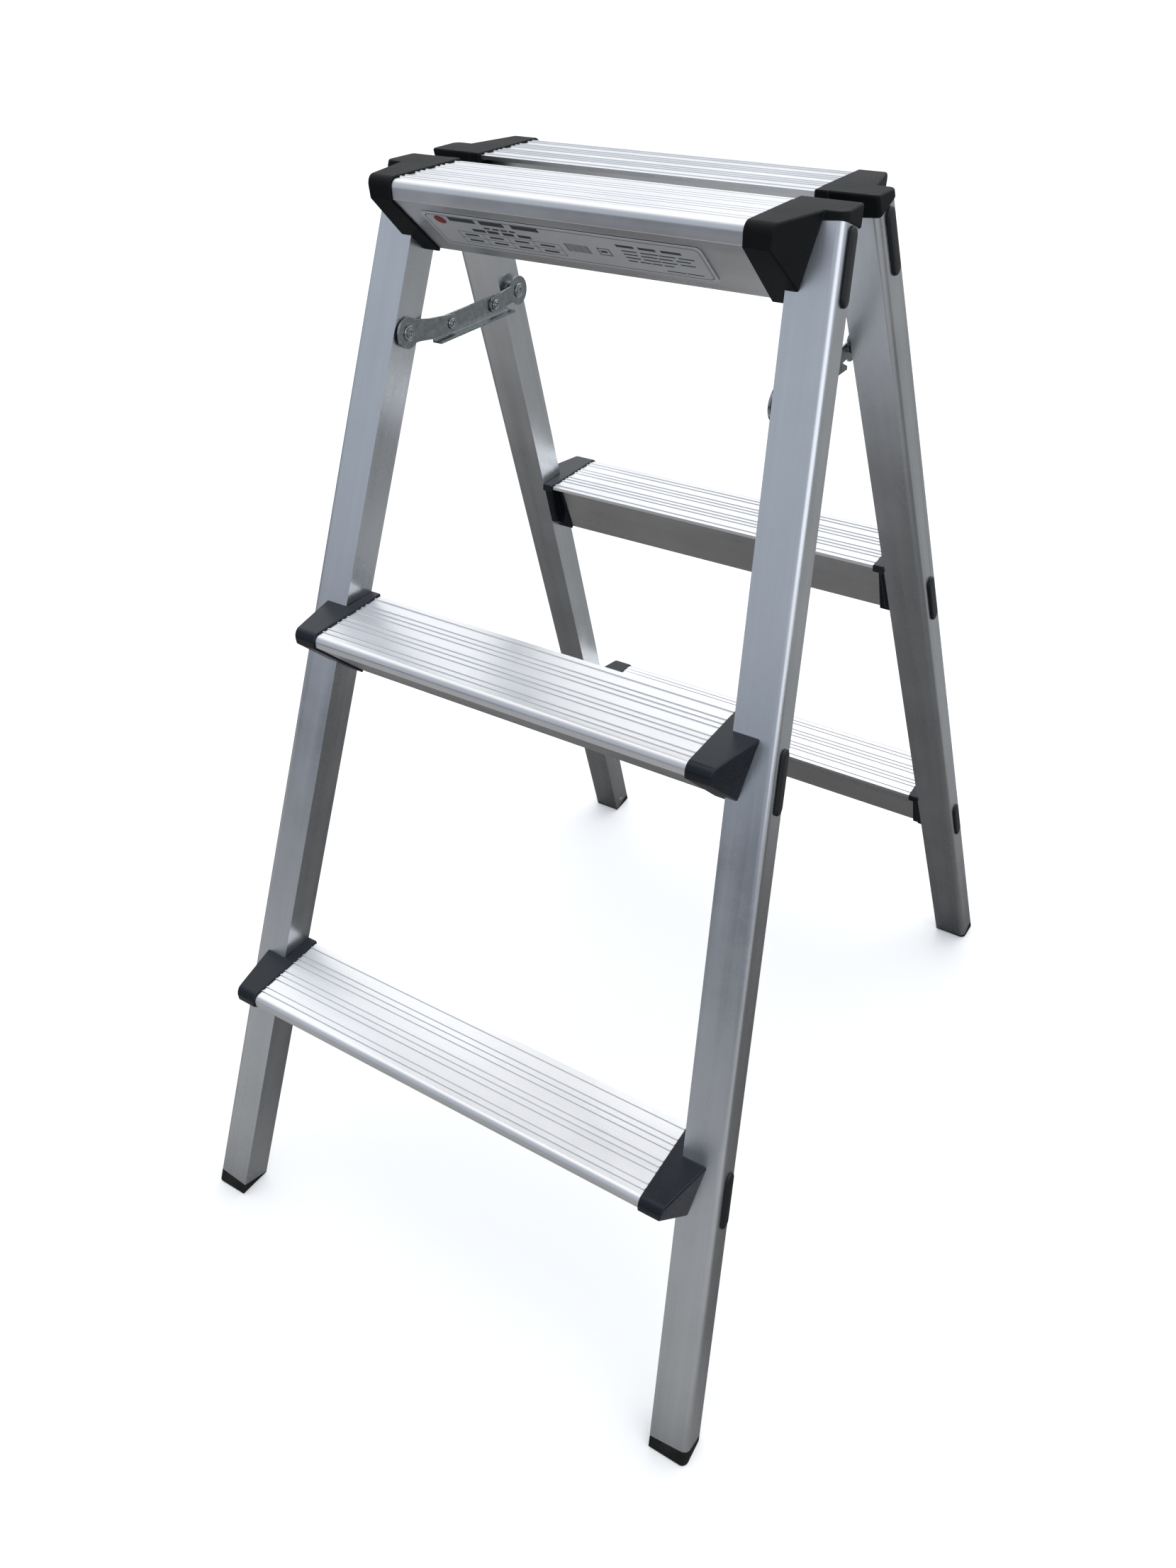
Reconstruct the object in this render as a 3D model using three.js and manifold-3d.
// Double-sided folding step ladder in aluminium, three treads on each side.
// Millimetres, +Z up. X runs along the treads, the front frame faces -Y, and the
// origin is on the floor under the middle of the open ladder.
import * as THREE from 'three';
import { mergeVertices } from 'three/addons/utils/BufferGeometryUtils.js';
import Module from 'manifold-3d';

const wasm = await Module();
wasm.setup();

// ---------------------------------------------------------------- driving dimensions
const PLATFORM_HEIGHT = 790;
const TREAD_PITCH = 281;
const LEVELS = [
  { name: 'bottom', height: PLATFORM_HEIGHT - 2 * TREAD_PITCH, faceDrop: 8 },
  { name: 'middle', height: PLATFORM_HEIGHT - TREAD_PITCH, faceDrop: 8 },
  { name: 'top', height: PLATFORM_HEIGHT, faceDrop: 11.5 },
];
const SIDES = [{ name: 'right', sign: 1 }, { name: 'left', sign: -1 }];
const FRAMES = [{ name: 'front', sign: 1 }, { name: 'rear', sign: -1 }];

// Inner faces of the rails and their climbing faces, on the floor and at the platform.
const INNER_AT_FLOOR = 205.3;
const INNER_AT_PLATFORM = 130.3;
const FACE_AT_FLOOR = 325.9;
const FACE_AT_PLATFORM = 37.3;
const SPLAY = (INNER_AT_FLOOR - INNER_AT_PLATFORM) / PLATFORM_HEIGHT;
const LEAN = (FACE_AT_FLOOR - FACE_AT_PLATFORM) / PLATFORM_HEIGHT;

// Play that any two touching pieces keep between them.
const GAP = 0.3;

// Rail: rectangular tube with two rounded outer corners.
const RAIL_WIDTH = 30.5;
const RAIL_DEPTH = 25;
const RAIL_WALL = 1.5;
const RAIL_CORNER = 5;
const RAIL_TOP_BELOW_PLATFORM = 2.2;
const SOLE_THICKNESS_AT_BACK = 1.7;

// Tread: hollow profile with a ribbed top, a round nose, a sloping underside and a back lip.
const TREAD_WALL = 1.5;
const TREAD_END_GAP = 9.5;
const TREAD_BACK = -26;
const TREAD_NOSE = 43.5;
const NOSE_RADIUS = 5;
const WEB_SETBACK = 15;
const KEEL_DROP = 48.5;
const LIP_THICKNESS = 2.5;
const RIB_PITCH = 5.025;
const RIB_PLACES = [1, 3, 4, 5, 7, 8, 9, 11, 12];
const RIB_HEIGHT = 0.7;
const RIB_FOOT = 1.8;
const RIB_CROWN = 0.8;

// End cap: moulded bracket between a tread and a rail.
const CAP_RIM = 1.5;
const CAP_BACK = -28;
const CAP_FLANGE_DEPTH = 4.5;
const CAP_PLATE = 4.5;
const CAP_PLATE_BACK = -26;
const CAP_PLATE_DROP = 41;
const CAP_WING_AT_RAIL = 18.4;
const CAP_WING_TAPER = 0.2186;
const CAP_WING_DRAFT = 0.08;
const SPIGOT_LENGTH = 12;
const COVER_OVERHANG = 0.9;
const COVER_SKIRT = 0.8;
const COVER_ROOT = 4.6;
const COVER_BACK_CORNER = 2;

// Hinge between the two frames, inside the top end caps.
const HINGE_HEIGHT = 770;
const HINGE_LUG_RADIUS = 7;
const HINGE_LUG_ROOT = -32;
const HINGE_PIN_RADIUS = 2.6;
const HINGE_HEAD_RADIUS = 4.2;
const HINGE_HEAD_LENGTH = 1.2;

// Oblong plugs on the outer faces of the rails.
const PLUG_LENGTH = 43.5;
const PLUG_WIDTH = 10.5;
const PLUG_PROUD = 2.3;
const PLUG_BEVEL = 0.8;
const PLUG_BOSS_LENGTH = 32;
const PLUG_BOSS_WIDTH = 5;
const PLUG_CENTRE_BELOW_TREAD = 26;

// Foot: rubber plug pushed into the rail, with a wedge sole.
const FOOT_PLUG_LENGTH = 28;

// Folding stay: three steel links between the frames, on each side.
const LINK_THICKNESS = 1.5;
const STAY_FRONT_PIVOT = new THREE.Vector2(-61.5, 689);
const STAY_JOINT_ONE = new THREE.Vector2(-20.2, 685.6);
const STAY_JOINT_TWO = new THREE.Vector2(31.8, 685.8);
const STAY_REAR_PIVOT = new THREE.Vector2(61.5, 689);
const DISC_RADIUS = 10.5;
const NECK_HALF_WIDTH = 8;
const CRANK_LENGTH = 9;
const DISC_LAYER = 1.6;
const MIDDLE_LAYER = 3.6;
const BAR_LAYER = 5.4;
const BAR_HALF_WIDTH = 5.8;
const BAR_OVERRUN = 4.7;
const FLANGE_REACH = 6;
const FLANGE_START = -38;
const FLANGE_END = 50;
const FLANGE_TOP = 678;
const MIDDLE_TOP = 691.8;
const RIVET_HOLE_PLAY = 0.3;
const FRAME_RIVET = { stem: 2.6, head: 5.2 };
const LINK_RIVET = { stem: 1.9, head: 3.7 };
const RIVET_HEAD_HEIGHT = 1.3;
const RIVET_TAIL_HEIGHT = 0.9;
const RIVET_RING = { inner: 0.55, outer: 0.9 };
const RIVET_RING_SLOPE = 0.4;
const RIVET_RECESS_HEIGHT = 0.6 * RIVET_HEAD_HEIGHT;
const RIVET_RIM_HEIGHT = 0.5 * RIVET_HEAD_HEIGHT;

// Rating label on the sloping front of the front top tread.
const LABEL_WIDTH = 198;
const LABEL_HEIGHT = 37;
const LABEL_THICKNESS = 0.4;
const LABEL_CORNER = 4;
const LABEL_CENTRE_X = -7;
const LABEL_CENTRE_DOWN_SLOPE = 26.5;

const ROUND_STEPS = 6;
const CIRCLE_STEPS = 24;

// ---------------------------------------------------------------- materials
const FINISHES = {
  aluminium: { color: 0xb9bec4, roughness: 0.38, metalness: 0.95 },
  black_plastic: { color: 0x1b1d20, roughness: 0.5, metalness: 0 },
  black_rubber: { color: 0x141414, roughness: 0.85, metalness: 0 },
  zinc_steel: { color: 0x6d7376, roughness: 0.4, metalness: 0.9 },
  label_foil: { color: 0xa9abad, roughness: 0.45, metalness: 0.3 },
};

// ---------------------------------------------------------------- geometry helpers
// Inner face of a rail, and climbing face of a frame, at a height above the floor.
const innerAt = (z) => INNER_AT_FLOOR - SPLAY * z;
const faceAt = (z) => FACE_AT_FLOOR - LEAN * z;
const treadHalfLength = (level) => innerAt(level.height) - TREAD_END_GAP;

// Leaves only positions, with shared corners joined.
function bare(geometry) {
  for (const name of ['normal', 'uv']) {
    if (geometry.getAttribute(name)) geometry.deleteAttribute(name);
  }
  return mergeVertices(geometry, 1e-4);
}

function toSolid(geometry) {
  const clean = bare(geometry);
  const mesh = new wasm.Mesh({
    numProp: 3,
    vertProperties: new Float32Array(clean.getAttribute('position').array),
    triVerts: new Uint32Array(clean.getIndex().array),
  });
  return new wasm.Manifold(mesh);
}

function toGeometry(solid) {
  const { vertProperties, triVerts } = solid.getMesh();
  const geometry = new THREE.BufferGeometry();
  geometry.setAttribute('position', new THREE.BufferAttribute(new Float32Array(vertProperties), 3));
  geometry.setIndex(new THREE.BufferAttribute(new Uint32Array(triVerts), 1));
  return geometry;
}

const join = (...geometries) => toGeometry(geometries.map(toSolid).reduce((a, b) => a.add(b)));
const common = (a, b) => toGeometry(toSolid(a).intersect(toSolid(b)));

function cut(geometry, ...tools) {
  return toGeometry(tools.map(toSolid).reduce((rest, tool) => rest.subtract(tool), toSolid(geometry)));
}

// Closed solid between two rings of the same number of points, each ring flat and convex.
function loft(ringA, ringB) {
  const count = ringA.length;
  const positions = [...ringA, ...ringB].flatMap((p) => [p.x, p.y, p.z]);
  const triangles = [];
  for (let i = 0; i < count; i += 1) {
    const next = (i + 1) % count;
    triangles.push([i, next, count + next], [i, count + next, count + i]);
  }
  for (let i = 1; i < count - 1; i += 1) {
    triangles.push([0, i + 1, i], [count, count + i, count + i + 1]);
  }
  const geometry = new THREE.BufferGeometry();
  geometry.setAttribute('position', new THREE.Float32BufferAttribute(positions, 3));
  geometry.setIndex(triangles.flat());
  return signedVolume(geometry) < 0 ? flipped(geometry) : geometry;
}

function signedVolume(geometry) {
  const position = geometry.getAttribute('position');
  const index = geometry.getIndex();
  const [a, b, c] = [new THREE.Vector3(), new THREE.Vector3(), new THREE.Vector3()];
  let volume = 0;
  for (let i = 0; i < index.count; i += 3) {
    a.fromBufferAttribute(position, index.getX(i));
    b.fromBufferAttribute(position, index.getX(i + 1));
    c.fromBufferAttribute(position, index.getX(i + 2));
    volume += a.dot(b.cross(c)) / 6;
  }
  return volume;
}

function flipped(geometry) {
  const index = geometry.getIndex();
  for (let i = 0; i < index.count; i += 3) {
    const first = index.getX(i);
    index.setX(i, index.getX(i + 1));
    index.setX(i + 1, first);
  }
  return geometry;
}

// Copy of a piece for the other side of the ladder (side -1) or the rear frame (frame -1).
function mirrored(geometry, side, frame) {
  const copy = bare(geometry.clone());
  copy.applyMatrix4(new THREE.Matrix4().makeScale(side, frame, 1));
  return side * frame < 0 ? flipped(copy) : copy;
}

// Moves every edge of a flat convex outline outwards by a distance, or inwards if negative.
function offsetOutline(points, distance) {
  const turn = Math.sign(THREE.ShapeUtils.area(points));
  const lines = points.map((p, i) => {
    const q = points[(i + 1) % points.length];
    const along = q.clone().sub(p).normalize();
    const outward = new THREE.Vector2(along.y, -along.x).multiplyScalar(turn * distance);
    return { from: p.clone().add(outward), along };
  });
  return lines.map((line, i) => {
    const before = lines[(i + lines.length - 1) % lines.length];
    const between = line.from.clone().sub(before.from);
    const reach = between.cross(line.along) / before.along.cross(line.along);
    return before.from.clone().addScaledVector(before.along, reach);
  });
}

function arc(centre, radius, startAngle, endAngle, steps = ROUND_STEPS) {
  return Array.from({ length: steps + 1 }, (_, i) => {
    const angle = startAngle + ((endAngle - startAngle) * i) / steps;
    return new THREE.Vector2(centre.x + radius * Math.cos(angle), centre.y + radius * Math.sin(angle));
  });
}

// A flat outline drawn in Y and Z, extruded along X between two planes.
function extrudeAlongX(outline, fromX, toX, holes = []) {
  const shape = new THREE.Shape(outline);
  shape.holes = holes.map((hole) => new THREE.Path(hole));
  const geometry = new THREE.ExtrudeGeometry(shape, { depth: toX - fromX, bevelEnabled: false });
  const axes = new THREE.Matrix4().makeBasis(
    new THREE.Vector3(0, 1, 0), new THREE.Vector3(0, 0, 1), new THREE.Vector3(1, 0, 0),
  );
  return bare(geometry.applyMatrix4(axes).translate(fromX, 0, 0));
}

// A turned piece on an axis along X, from (radius, x) points that start and end on the axis.
function turnedAlongX(profile, centre) {
  const points = profile.map(([radius, x]) => new THREE.Vector2(radius, x));
  const geometry = bare(new THREE.LatheGeometry(points, CIRCLE_STEPS));
  geometry.rotateZ(-Math.PI / 2).translate(0, centre.x, centre.y);
  return signedVolume(geometry) < 0 ? flipped(geometry) : geometry;
}

const circle = (centre, radius) => arc(centre, radius, 0, 2 * Math.PI, CIRCLE_STEPS).slice(0, CIRCLE_STEPS);

// ---------------------------------------------------------------- rails and feet
// Axes of the front right rail: across its width, into its depth, and along its length.
const slopeAxis = new THREE.Vector3(0, LEAN, 1).normalize();
const alongRail = new THREE.Vector3(-SPLAY, LEAN, 1).normalize();
const intoRail = new THREE.Vector3(0, slopeAxis.z, -slopeAxis.y);
const acrossRail = new THREE.Vector3().crossVectors(intoRail, alongRail);
const railAxes = new THREE.Matrix4()
  .makeBasis(acrossRail, intoRail, alongRail)
  .setPosition(INNER_AT_FLOOR, -FACE_AT_FLOOR, 0);

const railTop = (PLATFORM_HEIGHT - RAIL_TOP_BELOW_PLATFORM - RAIL_WIDTH * acrossRail.z) / alongRail.z;
const railBottom = (SOLE_THICKNESS_AT_BACK - RAIL_DEPTH * intoRail.z) / alongRail.z;
const alongRailAt = (z) => z / alongRail.z;

// Outline of the tube in its own width and depth, grown or shrunk by a distance.
function railOutline(growth = 0, backCorner = RAIL_CORNER) {
  const low = -growth;
  const width = RAIL_WIDTH + growth;
  const depth = RAIL_DEPTH + growth;
  const front = RAIL_CORNER + growth;
  const back = backCorner + growth;
  return [
    new THREE.Vector2(low, low),
    ...arc(new THREE.Vector2(width - front, low + front), front, -Math.PI / 2, 0),
    ...arc(new THREE.Vector2(width - back, depth - back), back, 0, Math.PI / 2),
    new THREE.Vector2(low, depth),
  ];
}

// A box given in the rail's own width, depth and length.
function boxOnRail(x, y, z) {
  const geometry = new THREE.BoxGeometry(x[1] - x[0], y[1] - y[0], z[1] - z[0]);
  geometry.translate((x[0] + x[1]) / 2, (y[0] + y[1]) / 2, (z[0] + z[1]) / 2);
  return geometry.applyMatrix4(railAxes);
}

// Space that the tube takes up, with the play that its neighbours keep.
function railSpace() {
  const outline = railOutline(GAP);
  return loft(ringOnRail(outline, -RAIL_WIDTH), ringOnRail(outline, railTop + GAP));
}

// Oblong slab on the rail's outer face: centre, length and width, between two widths of the rail.
function oblongOnRail(centreZ, length, width, fromX, toX, bevel = 0) {
  const half = length / 2 - width / 2;
  const radius = width / 2 - bevel;
  const middle = RAIL_DEPTH / 2;
  const outline = [
    ...arc(new THREE.Vector2(middle, centreZ + half), radius, 0, Math.PI),
    ...arc(new THREE.Vector2(middle, centreZ - half), radius, Math.PI, 2 * Math.PI),
  ];
  const shape = new THREE.Shape(outline);
  const geometry = new THREE.ExtrudeGeometry(shape, {
    depth: toX - fromX - bevel,
    bevelEnabled: bevel > 0,
    bevelThickness: bevel,
    bevelSize: bevel,
    bevelSegments: 2,
  });
  const axes = new THREE.Matrix4().makeBasis(
    new THREE.Vector3(0, 1, 0), new THREE.Vector3(0, 0, 1), new THREE.Vector3(1, 0, 0),
  );
  geometry.applyMatrix4(axes).translate(fromX, 0, 0);
  return bare(geometry.applyMatrix4(railAxes));
}

const plugCentre = (level) => alongRailAt(level.height - PLUG_CENTRE_BELOW_TREAD);

function railTube(frame) {
  const shape = new THREE.Shape(railOutline());
  shape.holes = [new THREE.Path(railOutline(-RAIL_WALL))];
  const tube = new THREE.ExtrudeGeometry(shape, { depth: railTop - railBottom, bevelEnabled: false });
  tube.translate(0, 0, railBottom).applyMatrix4(railAxes);
  const plugHoles = LEVELS.map((level) => oblongOnRail(
    plugCentre(level), PLUG_BOSS_LENGTH + 2 * GAP, PLUG_BOSS_WIDTH + 2 * GAP,
    RAIL_WIDTH - 2 * RAIL_WALL, RAIL_WIDTH + RAIL_WALL,
  ));
  const pivot = frame.sign > 0 ? STAY_FRONT_PIVOT : STAY_REAR_PIVOT;
  const pivotHole = extrudeAlongX(
    circle(new THREE.Vector2(-Math.abs(pivot.x), pivot.y), FRAME_RIVET.stem + RIVET_HOLE_PLAY),
    innerAt(pivot.y) - 2 * RAIL_WALL, innerAt(pivot.y) + 3 * RAIL_WALL,
  );
  return cut(tube, ...plugHoles, pivotHole);
}

function railPlug(level) {
  const head = oblongOnRail(
    plugCentre(level), PLUG_LENGTH, PLUG_WIDTH,
    RAIL_WIDTH + GAP, RAIL_WIDTH + PLUG_PROUD, PLUG_BEVEL,
  );
  const boss = oblongOnRail(
    plugCentre(level), PLUG_BOSS_LENGTH, PLUG_BOSS_WIDTH,
    RAIL_WIDTH - 2 * RAIL_WALL, RAIL_WIDTH + 2 * GAP,
  );
  const belowHead = boxOnRail(
    [0, RAIL_WIDTH + GAP], [0, RAIL_DEPTH],
    [plugCentre(level) - PLUG_LENGTH, plugCentre(level) + PLUG_LENGTH],
  );
  return join(cut(head, belowHead), boss);
}

// A ring of points on the tube's outline, at one length or where the tube would meet a height.
function ringOnRail(outline, length, height = null) {
  return outline.map((p) => {
    const point = new THREE.Vector3(p.x, p.y, length).applyMatrix4(railAxes);
    if (height !== null) point.addScaledVector(alongRail, (height - point.z) / alongRail.z);
    return point;
  });
}

function rubberFoot() {
  const plugOutline = railOutline(-RAIL_WALL - GAP);
  const top = railBottom - GAP;
  const sole = loft(ringOnRail(railOutline(), top), ringOnRail(railOutline(), top, 0));
  const plug = loft(ringOnRail(plugOutline, top - 0.5), ringOnRail(plugOutline, top + FOOT_PLUG_LENGTH));
  return join(sole, plug);
}

// ---------------------------------------------------------------- treads
// A tread is drawn by how far a point is ahead of the climbing face and below the tread's top.
const onTread = (level, forward, down) => new THREE.Vector2(
  -(faceAt(level.height) + forward), level.height - down,
);

// Hollow body of the tread: top, nose, short front face, sloping underside and leaning web.
function treadBodyOutline(level) {
  const noseCentre = new THREE.Vector2(TREAD_NOSE - NOSE_RADIUS, -NOSE_RADIUS);
  const nose = arc(noseCentre, NOSE_RADIUS, Math.PI / 2, 0);
  return [
    onTread(level, -WEB_SETBACK, 0),
    ...nose.map((p) => onTread(level, p.x, -p.y)),
    onTread(level, TREAD_NOSE, level.faceDrop),
    onTread(level, -WEB_SETBACK + LEAN * KEEL_DROP, KEEL_DROP),
  ];
}

function ribPoints(level) {
  return RIB_PLACES.flatMap((place) => {
    const middle = TREAD_BACK + place * RIB_PITCH;
    return [
      onTread(level, middle - RIB_FOOT / 2, 0),
      onTread(level, middle - RIB_CROWN / 2, -RIB_HEIGHT),
      onTread(level, middle + RIB_CROWN / 2, -RIB_HEIGHT),
      onTread(level, middle + RIB_FOOT / 2, 0),
    ];
  });
}

function tread(level) {
  const body = treadBodyOutline(level);
  const outline = [
    onTread(level, TREAD_BACK, LIP_THICKNESS),
    onTread(level, TREAD_BACK, 0),
    ...ribPoints(level),
    ...body.slice(1),
    onTread(level, -WEB_SETBACK + LEAN * LIP_THICKNESS, LIP_THICKNESS),
  ];
  const half = treadHalfLength(level);
  return extrudeAlongX(outline, -half, half, [offsetOutline(body, -TREAD_WALL)]);
}

// ---------------------------------------------------------------- end caps
// A ring of points from an outline in Y and Z, with X given by a rule.
const ringAt = (outline, xOf) => outline.map((p) => new THREE.Vector3(xOf(p), p.x, p.y));

// The inside of a cap lies against the rail, the outside of its wing tapers towards the nose.
const railSideOf = (p) => innerAt(p.y) - GAP;
const wingSideOf = (level) => (p) => {
  const forward = -p.x - faceAt(level.height);
  const down = level.height - p.y;
  const reach = CAP_WING_AT_RAIL - CAP_WING_TAPER * forward - CAP_WING_DRAFT * down;
  return innerAt(level.height) + reach;
};

// Part of the cap's outline that is ahead of the climbing face.
function wingOutline(level) {
  const outline = offsetOutline(treadBodyOutline(level), CAP_RIM);
  const ahead = outline.slice(1, outline.length - 1);
  const nose = ahead[ahead.length - 1];
  const keel = outline[outline.length - 1];
  const slope = (keel.y - nose.y) / (keel.x - nose.x);
  const faceHeight = (FACE_AT_FLOOR + GAP + nose.x - nose.y / slope) / (LEAN - 1 / slope);
  const topHeight = level.height + CAP_RIM;
  return [
    new THREE.Vector2(-faceAt(topHeight) - GAP, topHeight),
    ...ahead,
    new THREE.Vector2(-faceAt(faceHeight) - GAP, faceHeight),
  ];
}

function capFlange(level, endX) {
  const outline = [
    onTread(level, CAP_BACK, -CAP_RIM),
    onTread(level, 0, -CAP_RIM),
    onTread(level, 0, CAP_FLANGE_DEPTH),
    onTread(level, CAP_BACK, CAP_FLANGE_DEPTH),
  ];
  return loft(ringAt(outline, () => endX), ringAt(outline, railSideOf));
}

// Thin plate of the cap that covers the rail's inner face behind the tread's web.
function capPlate(level) {
  const outline = [
    onTread(level, CAP_PLATE_BACK, 0),
    onTread(level, 0, 0),
    onTread(level, -WEB_SETBACK + LEAN * KEEL_DROP, KEEL_DROP),
    onTread(level, CAP_PLATE_BACK + LEAN * CAP_PLATE_DROP, CAP_PLATE_DROP),
  ];
  return loft(ringAt(outline, (p) => railSideOf(p) - CAP_PLATE), ringAt(outline, railSideOf));
}

function capSpigot(level, endX) {
  const outline = offsetOutline(treadBodyOutline(level), -TREAD_WALL - GAP);
  return loft(ringAt(outline, () => endX - GAP - SPIGOT_LENGTH), ringAt(outline, () => endX + CAP_RIM));
}

function endCap(level) {
  const endX = treadHalfLength(level) + GAP;
  const body = offsetOutline(treadBodyOutline(level), CAP_RIM);
  const flank = loft(ringAt(body, () => endX), ringAt(body, railSideOf));
  const wing = wingOutline(level);
  const wingSolid = loft(ringAt(wing, () => endX), ringAt(wing, wingSideOf(level)));
  const whole = join(flank, wingSolid, capFlange(level, endX), capPlate(level), capSpigot(level, endX));
  return cut(whole, railSpace());
}

// Cover over the rail's square-cut end, part of a top cap.
function railCover() {
  const outline = railOutline(COVER_OVERHANG, COVER_BACK_CORNER).map(
    (p) => new THREE.Vector2(p.x < 0 ? -COVER_ROOT : p.x, p.y),
  );
  const skirt = railTop - COVER_SKIRT;
  return loft(ringOnRail(outline, skirt), ringOnRail(outline, skirt, PLATFORM_HEIGHT + CAP_RIM));
}

// Lugs of a top cap around the hinge pin: two on the front frame, one between them on the rear.
function hingeLugSpans(frame) {
  const start = treadHalfLength(LEVELS[2]) + GAP;
  const end = innerAt(HINGE_HEIGHT) - 2 * GAP;
  const third = (end - start - 2 * GAP) / 3;
  const front = [[start, start + third], [end - third, end]];
  const rear = [[start + third + GAP, end - third - GAP]];
  return frame.sign > 0 ? front : rear;
}

function hingeLugs(frame) {
  const axis = new THREE.Vector2(0, HINGE_HEIGHT);
  const outline = [
    new THREE.Vector2(HINGE_LUG_ROOT, HINGE_HEIGHT - HINGE_LUG_RADIUS),
    ...arc(axis, HINGE_LUG_RADIUS, -Math.PI / 2, Math.PI / 2),
    new THREE.Vector2(HINGE_LUG_ROOT, HINGE_HEIGHT + HINGE_LUG_RADIUS),
  ];
  const hole = circle(axis, HINGE_PIN_RADIUS + RIVET_HOLE_PLAY);
  return hingeLugSpans(frame).map(([from, to]) => extrudeAlongX(outline, from, to, [hole]));
}

function topEndCap(frame) {
  const whole = join(endCap(LEVELS[2]), railCover(), ...hingeLugs(frame));
  return cut(whole, railSpace());
}

function hingePin() {
  const start = treadHalfLength(LEVELS[2]) + 2 * GAP;
  const end = innerAt(HINGE_HEIGHT) - 3 * GAP;
  const axis = new THREE.Vector2(0, HINGE_HEIGHT);
  return turnedAlongX([
    [0, start - HINGE_HEAD_LENGTH - GAP],
    [HINGE_HEAD_RADIUS, start - HINGE_HEAD_LENGTH - GAP],
    [HINGE_HEAD_RADIUS, start - 2 * GAP],
    [HINGE_PIN_RADIUS, start - 2 * GAP],
    [HINGE_PIN_RADIUS, end],
    [0, end],
  ], axis);
}

// ---------------------------------------------------------------- folding stays
// Layers of the stay are counted from the rail's inner face at the pivots towards the middle.
const stayX = (layer) => innerAt(STAY_FRONT_PIVOT.y) - layer;

// Bar outline between two pivots, with its own half width at each, squared off or round.
function barOutline(from, to, halfFrom, halfTo, overrun, round) {
  const along = to.clone().sub(from).normalize();
  const side = new THREE.Vector2(-along.y, along.x);
  const angle = Math.atan2(along.y, along.x);
  const end = round
    ? arc(to, halfTo, angle - Math.PI / 2, angle + Math.PI / 2)
    : [
      to.clone().addScaledVector(along, overrun).addScaledVector(side, -halfTo),
      to.clone().addScaledVector(along, overrun).addScaledVector(side, halfTo),
    ];
  return [
    from.clone().addScaledVector(side, -halfFrom),
    ...end,
    from.clone().addScaledVector(side, halfFrom),
  ];
}

// The front link: a disc close to the rail, cranked inwards to the layer of the bar.
function stayFrontLink() {
  const pivot = STAY_FRONT_PIVOT;
  const joint = STAY_JOINT_ONE;
  const crankStart = pivot.x + DISC_RADIUS;
  const crankEnd = crankStart + CRANK_LENGTH;
  const far = joint.x + 2 * DISC_RADIUS;
  const near = pivot.x - 2 * DISC_RADIUS;
  const strip = [
    [near, DISC_LAYER], [crankStart, DISC_LAYER], [crankEnd, BAR_LAYER], [far, BAR_LAYER],
  ];
  const thick = strip.map(([y, layer]) => [y, layer + LINK_THICKNESS]).reverse();
  const plan = [...strip, ...thick].map(([y, layer]) => new THREE.Vector2(stayX(layer), y));
  const height = 4 * DISC_RADIUS;
  const bend = new THREE.ExtrudeGeometry(new THREE.Shape(plan), { depth: height, bevelEnabled: false });
  bend.translate(0, 0, pivot.y - height / 2);
  const bar = barOutline(pivot, joint, NECK_HALF_WIDTH, BAR_HALF_WIDTH, BAR_OVERRUN, false);
  const outerX = stayX(0);
  const innerX = stayX(2 * BAR_LAYER);
  const side = join(
    extrudeAlongX(circle(pivot, DISC_RADIUS), innerX, outerX),
    extrudeAlongX(bar, innerX, outerX),
  );
  const holes = [
    extrudeAlongX(circle(pivot, FRAME_RIVET.stem + RIVET_HOLE_PLAY), innerX, outerX),
    extrudeAlongX(circle(joint, LINK_RIVET.stem + RIVET_HOLE_PLAY), innerX, outerX),
  ];
  return cut(common(bend, side), ...holes);
}

// The middle link: a plate with a flange along its bottom that runs under both end links.
function stayMiddleLink() {
  const shoulder = [[10, FLANGE_TOP + 5], [7, MIDDLE_TOP - 3], [3, MIDDLE_TOP]];
  const plate = [
    new THREE.Vector2(FLANGE_START, FLANGE_TOP - LINK_THICKNESS),
    new THREE.Vector2(FLANGE_END, FLANGE_TOP - LINK_THICKNESS),
    new THREE.Vector2(FLANGE_END, FLANGE_TOP + 1),
    ...shoulder.map(([reach, height]) => new THREE.Vector2(STAY_JOINT_TWO.x + reach, height)),
    ...shoulder.toReversed().map(([reach, height]) => new THREE.Vector2(STAY_JOINT_ONE.x - reach, height)),
    new THREE.Vector2(FLANGE_START, FLANGE_TOP + 1),
  ];
  const flange = [
    new THREE.Vector2(FLANGE_START, FLANGE_TOP - LINK_THICKNESS),
    new THREE.Vector2(FLANGE_END, FLANGE_TOP - LINK_THICKNESS),
    new THREE.Vector2(FLANGE_END, FLANGE_TOP),
    new THREE.Vector2(FLANGE_START, FLANGE_TOP),
  ];
  const hole = circle(STAY_JOINT_ONE, LINK_RIVET.stem + RIVET_HOLE_PLAY);
  const outerX = stayX(MIDDLE_LAYER);
  const innerX = stayX(MIDDLE_LAYER + LINK_THICKNESS);
  return join(
    extrudeAlongX(plate, innerX, outerX, [hole]),
    extrudeAlongX(flange, innerX - FLANGE_REACH, outerX),
  );
}

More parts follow.
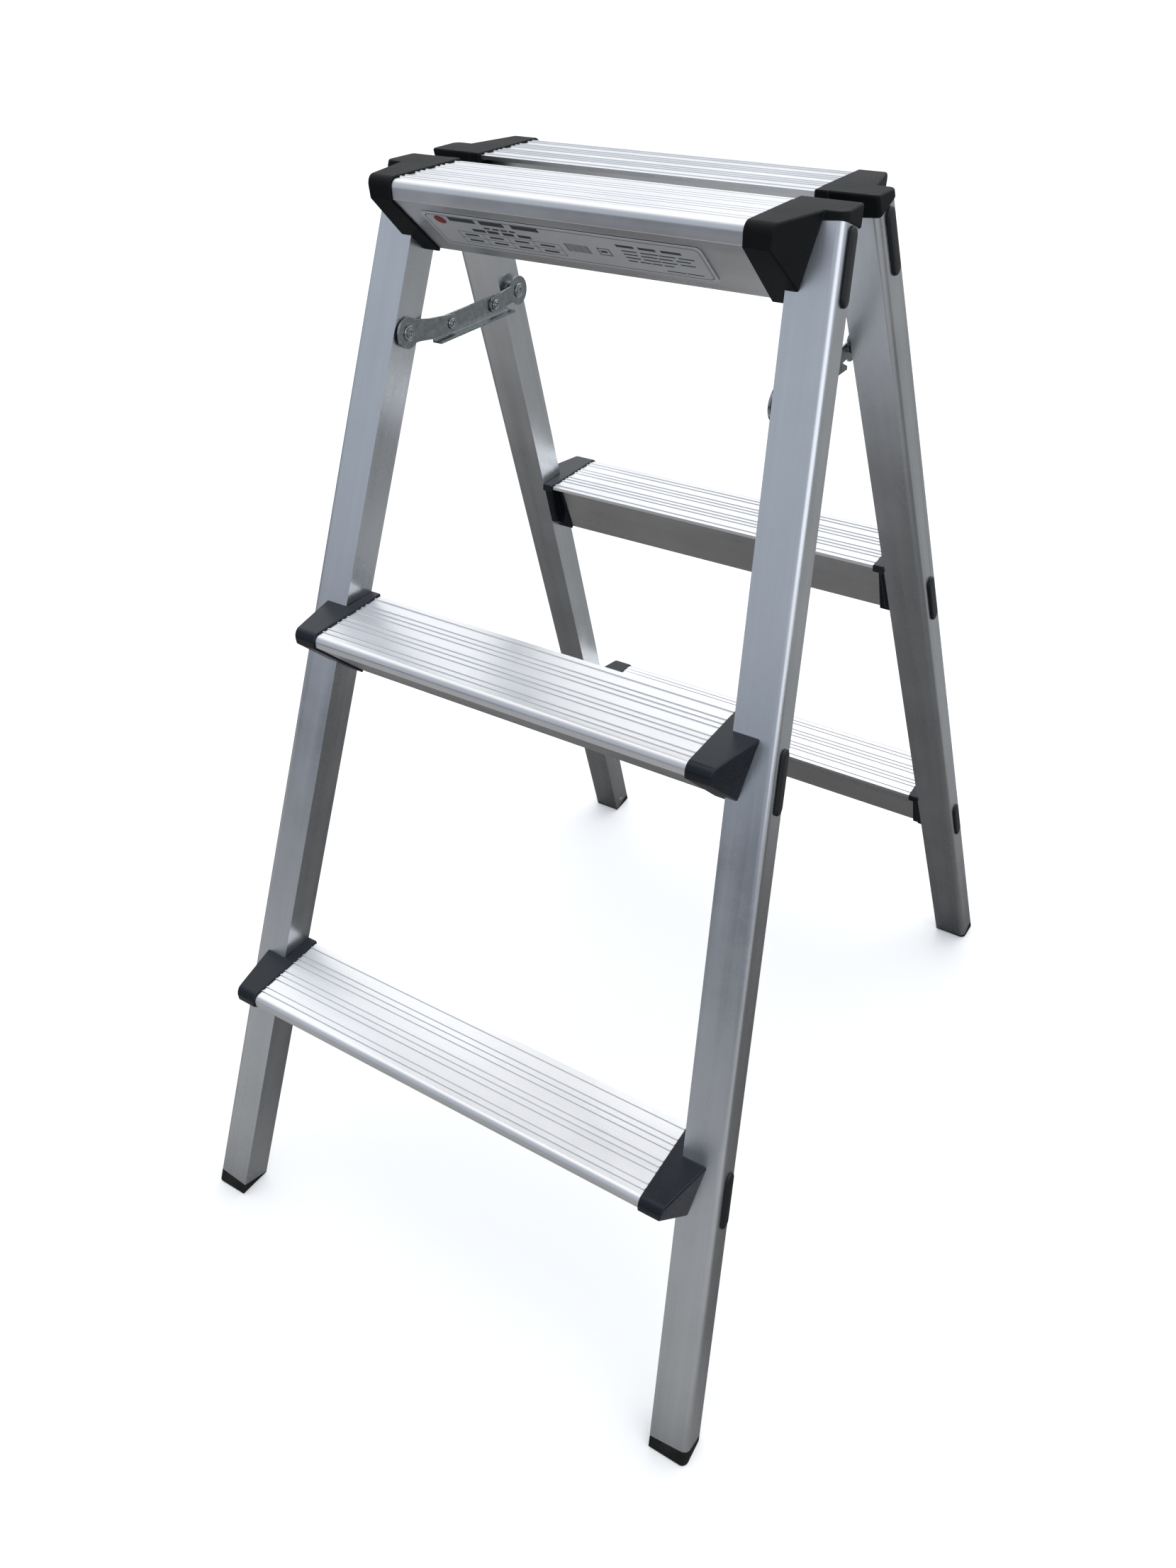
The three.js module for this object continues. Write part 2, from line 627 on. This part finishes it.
// The rear link: flat, round at its joint, with a disc at the rear rail.
function stayRearLink() {
  const innerX = stayX(BAR_LAYER + LINK_THICKNESS);
  const outerX = stayX(BAR_LAYER);
  const bar = barOutline(STAY_REAR_PIVOT, STAY_JOINT_TWO, BAR_HALF_WIDTH, BAR_HALF_WIDTH, 0, true);
  const whole = join(
    extrudeAlongX(circle(STAY_REAR_PIVOT, DISC_RADIUS), innerX, outerX),
    extrudeAlongX(bar, innerX, outerX),
  );
  const holes = [
    extrudeAlongX(circle(STAY_REAR_PIVOT, FRAME_RIVET.stem + RIVET_HOLE_PLAY), innerX - 1, outerX + 1),
    extrudeAlongX(circle(STAY_JOINT_TWO, LINK_RIVET.stem + RIVET_HOLE_PLAY), innerX - 1, outerX + 1),
  ];
  return cut(whole, ...holes);
}

// Rivet with a ring-shaped head towards the middle of the ladder and a tail behind what it
// holds. A shoulder may space a link off the rail.
function stayRivet({ centre, size, headLayer, tail, shoulder }) {
  const headX = stayX(headLayer + GAP);
  const ringInner = size.head * RIVET_RING.inner;
  const ringOuter = size.head * RIVET_RING.outer;
  const spacer = shoulder ? [
    [size.stem, stayX(shoulder.from)],
    [shoulder.radius, stayX(shoulder.from)],
    [shoulder.radius, stayX(shoulder.to)],
    [size.stem, stayX(shoulder.to)],
  ] : [];
  const upset = tail.thickness > 0 ? [
    [size.stem, stayX(tail.layer)],
    [tail.radius, stayX(tail.layer)],
    [tail.radius, stayX(tail.layer - tail.thickness)],
  ] : [[size.stem, stayX(tail.layer)]];
  return turnedAlongX([
    [0, headX - RIVET_RECESS_HEIGHT],
    [ringInner, headX - RIVET_RECESS_HEIGHT],
    [ringInner + RIVET_RING_SLOPE, headX - RIVET_HEAD_HEIGHT],
    [ringOuter, headX - RIVET_HEAD_HEIGHT],
    [size.head, headX - RIVET_RIM_HEIGHT],
    [size.head, headX],
    [size.stem, headX],
    ...spacer,
    ...upset,
    [0, stayX(tail.layer - tail.thickness)],
  ], centre);
}

function stayRivets() {
  const insideRail = { layer: -RAIL_WALL - 3 * GAP, radius: 4.6, thickness: RIVET_TAIL_HEIGHT };
  return {
    front_pivot: stayRivet({
      centre: STAY_FRONT_PIVOT,
      size: FRAME_RIVET,
      headLayer: DISC_LAYER + LINK_THICKNESS,
      tail: insideRail,
    }),
    front_joint: stayRivet({
      centre: STAY_JOINT_ONE,
      size: LINK_RIVET,
      headLayer: BAR_LAYER + LINK_THICKNESS,
      tail: { layer: MIDDLE_LAYER - GAP, radius: 3.2, thickness: RIVET_TAIL_HEIGHT },
    }),
    rear_joint: stayRivet({
      centre: STAY_JOINT_TWO,
      size: LINK_RIVET,
      headLayer: BAR_LAYER + LINK_THICKNESS,
      tail: { layer: BAR_LAYER, thickness: 0 },
    }),
    rear_pivot: stayRivet({
      centre: STAY_REAR_PIVOT,
      size: FRAME_RIVET,
      headLayer: BAR_LAYER + LINK_THICKNESS,
      tail: insideRail,
      shoulder: { from: BAR_LAYER - GAP, to: DISC_LAYER - 0.4, radius: 5.5 },
    }),
  };
}

// ---------------------------------------------------------------- label
// Blank foil plate with round corners on the sloping front of the front top tread.
function ratingLabel() {
  const level = LEVELS[2];
  const crease = onTread(level, TREAD_NOSE, level.faceDrop);
  const keel = onTread(level, -WEB_SETBACK + LEAN * KEEL_DROP, KEEL_DROP);
  const downSlope = new THREE.Vector3(0, keel.x - crease.x, keel.y - crease.y).normalize();
  const acrossFace = new THREE.Vector3(-1, 0, 0);
  const outward = new THREE.Vector3().crossVectors(acrossFace, downSlope);
  const halfWidth = LABEL_WIDTH / 2 - LABEL_CORNER;
  const halfHeight = LABEL_HEIGHT / 2 - LABEL_CORNER;
  const corners = [[1, 1, 0], [-1, 1, 1], [-1, -1, 2], [1, -1, 3]];
  const outline = corners.flatMap(([x, y, quarter]) => arc(
    new THREE.Vector2(x * halfWidth, y * halfHeight), LABEL_CORNER,
    (quarter * Math.PI) / 2, ((quarter + 1) * Math.PI) / 2,
  ));
  const plate = new THREE.ExtrudeGeometry(
    new THREE.Shape(outline), { depth: LABEL_THICKNESS, bevelEnabled: false },
  );
  const place = new THREE.Matrix4().makeBasis(acrossFace, downSlope, outward).setPosition(
    LABEL_CENTRE_X,
    crease.x + downSlope.y * LABEL_CENTRE_DOWN_SLOPE + outward.y * GAP,
    crease.y + downSlope.z * LABEL_CENTRE_DOWN_SLOPE + outward.z * GAP,
  );
  return bare(plate.applyMatrix4(place));
}

// ---------------------------------------------------------------- assembly
const ladder = new THREE.Group();

function addPiece(group, name, finish, geometry) {
  const closed = bare(geometry);
  closed.computeVertexNormals();
  const mesh = new THREE.Mesh(closed, new THREE.MeshStandardMaterial(FINISHES[finish]));
  mesh.name = name;
  group.add(mesh);
}

function addFrame(frame) {
  const group = new THREE.Group();
  const rail = railTube(frame);
  const foot = rubberFoot();
  const topCap = topEndCap(frame);
  for (const side of SIDES) {
    const piece = (geometry) => mirrored(geometry, side.sign, frame.sign);
    const label = `${frame.name}_${side.name}`;
    addPiece(group, `${label}_rail`, 'aluminium', piece(rail));
    addPiece(group, `${label}_foot`, 'black_rubber', piece(foot));
    for (const level of LEVELS) {
      const cap = level.name === 'top' ? topCap : endCap(level);
      addPiece(group, `${label}_${level.name}_end_cap`, 'black_plastic', piece(cap));
      addPiece(group, `${label}_${level.name}_plug`, 'black_plastic', piece(railPlug(level)));
    }
  }
  for (const level of LEVELS) {
    const profile = mirrored(tread(level), 1, frame.sign);
    addPiece(group, `${frame.name}_${level.name}_tread`, 'aluminium', profile);
  }
  ladder.add(group);
}

function addStay(side) {
  const group = new THREE.Group();
  const piece = (geometry) => mirrored(geometry, side.sign, 1);
  addPiece(group, `${side.name}_stay_front_link`, 'zinc_steel', piece(stayFrontLink()));
  addPiece(group, `${side.name}_stay_middle_link`, 'zinc_steel', piece(stayMiddleLink()));
  addPiece(group, `${side.name}_stay_rear_link`, 'zinc_steel', piece(stayRearLink()));
  for (const [place, rivet] of Object.entries(stayRivets())) {
    addPiece(group, `${side.name}_stay_${place}_rivet`, 'zinc_steel', piece(rivet));
  }
  addPiece(group, `${side.name}_hinge_pin`, 'zinc_steel', piece(hingePin()));
  ladder.add(group);
}

FRAMES.forEach(addFrame);
SIDES.forEach(addStay);
addPiece(ladder, 'rating_label', 'label_foil', ratingLabel());

export default ladder;
